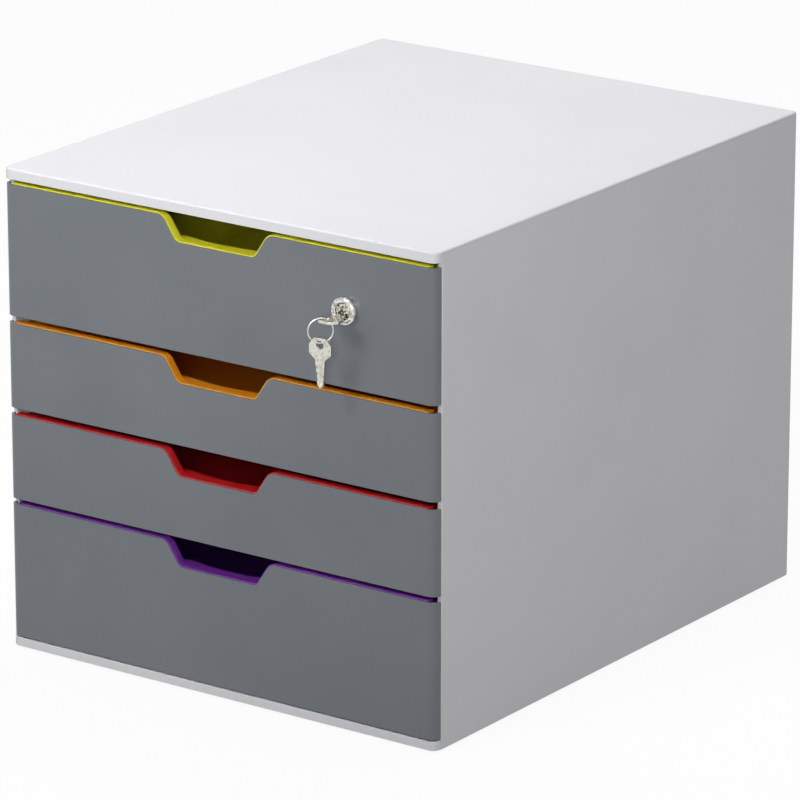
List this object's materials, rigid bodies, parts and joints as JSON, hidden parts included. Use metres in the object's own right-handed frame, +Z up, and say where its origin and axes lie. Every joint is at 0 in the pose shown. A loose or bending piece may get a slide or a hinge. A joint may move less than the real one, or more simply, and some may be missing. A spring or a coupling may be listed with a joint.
{
  "type": "desktop drawer box",
  "caption": "Grey desk box with stacked coloured trays behind dark clip-on fronts, each with a finger cut-out; the top drawer locks with a key.",
  "frame": {"origin": "on the floor under the middle of the whole object's bounding box, keys included", "axes": "+X to the right seen from the front, +Y to the back, along the drawers, +Z up"},
  "size_m": [0.292, 0.3804, 0.28],
  "materials": {
    "casing_grey": "satin",
    "cover_anthracite": "satin",
    "tray_yellow": "satin",
    "tray_orange": "satin",
    "tray_red": "satin",
    "tray_purple": "satin",
    "foot_rubber": "satin",
    "lock_chrome": "polished",
    "lock_zinc": "satin",
    "key_nickel": "satin"
  },
  "bodies": {
    "casing": {"left_side_wall": "casing_grey", "right_side_wall": "casing_grey", "top_panel": "casing_grey", "base_panel": "casing_grey", "back_panel": "casing_grey", "rubber_feet": "foot_rubber"},
    "top_drawer": {"top_tray": "tray_yellow", "top_front_cover": "cover_anthracite", "lock_housing": "lock_chrome", "lock_nut": "lock_zinc"},
    "upper_drawer": {"upper_tray": "tray_orange", "upper_front_cover": "cover_anthracite"},
    "lower_drawer": {"lower_tray": "tray_red", "lower_front_cover": "cover_anthracite"},
    "bottom_drawer": {"bottom_tray": "tray_purple", "bottom_front_cover": "cover_anthracite"},
    "lock": {"lock_plug": "lock_chrome", "lock_cam": "lock_zinc", "cam_screw": "lock_zinc"},
    "key": {"key_in_lock": "key_nickel"},
    "ring": {"key_ring": "key_nickel"},
    "spare": {"spare_key": "key_nickel"}
  },
  "joints": [
    {"name": "top_drawer_slide", "type": "slide", "parent": "casing", "child": "top_drawer", "axis": [0, -1, 0], "range_m": [0, 0.26]},
    {"name": "upper_drawer_slide", "type": "slide", "parent": "casing", "child": "upper_drawer", "axis": [0, -1, 0], "range_m": [0, 0.26]},
    {"name": "lower_drawer_slide", "type": "slide", "parent": "casing", "child": "lower_drawer", "axis": [0, -1, 0], "range_m": [0, 0.26]},
    {"name": "bottom_drawer_slide", "type": "slide", "parent": "casing", "child": "bottom_drawer", "axis": [0, -1, 0], "range_m": [0, 0.26]},
    {"name": "lock_turn", "type": "hinge", "parent": "top_drawer", "child": "lock", "pos_m": [0.0874, -0.16582, 0.2389], "axis": [0, 1, 0], "range_deg": [0, 90]},
    {"name": "key_withdraw", "type": "slide", "parent": "lock", "child": "key", "axis": [0, -1, 0], "range_m": [0, 0.012]},
    {"name": "ring_swing", "type": "hinge", "parent": "key", "child": "ring", "pos_m": [0.08464, -0.18488, 0.2385], "axis": [0.7071, 0.7071, 0], "range_deg": [-12, 12]},
    {"name": "spare_key_swing", "type": "hinge", "parent": "ring", "child": "spare", "pos_m": [0.08464, -0.18488, 0.2249], "axis": [0.7071, 0.7071, 0], "range_deg": [-20, 20]}
  ]
}
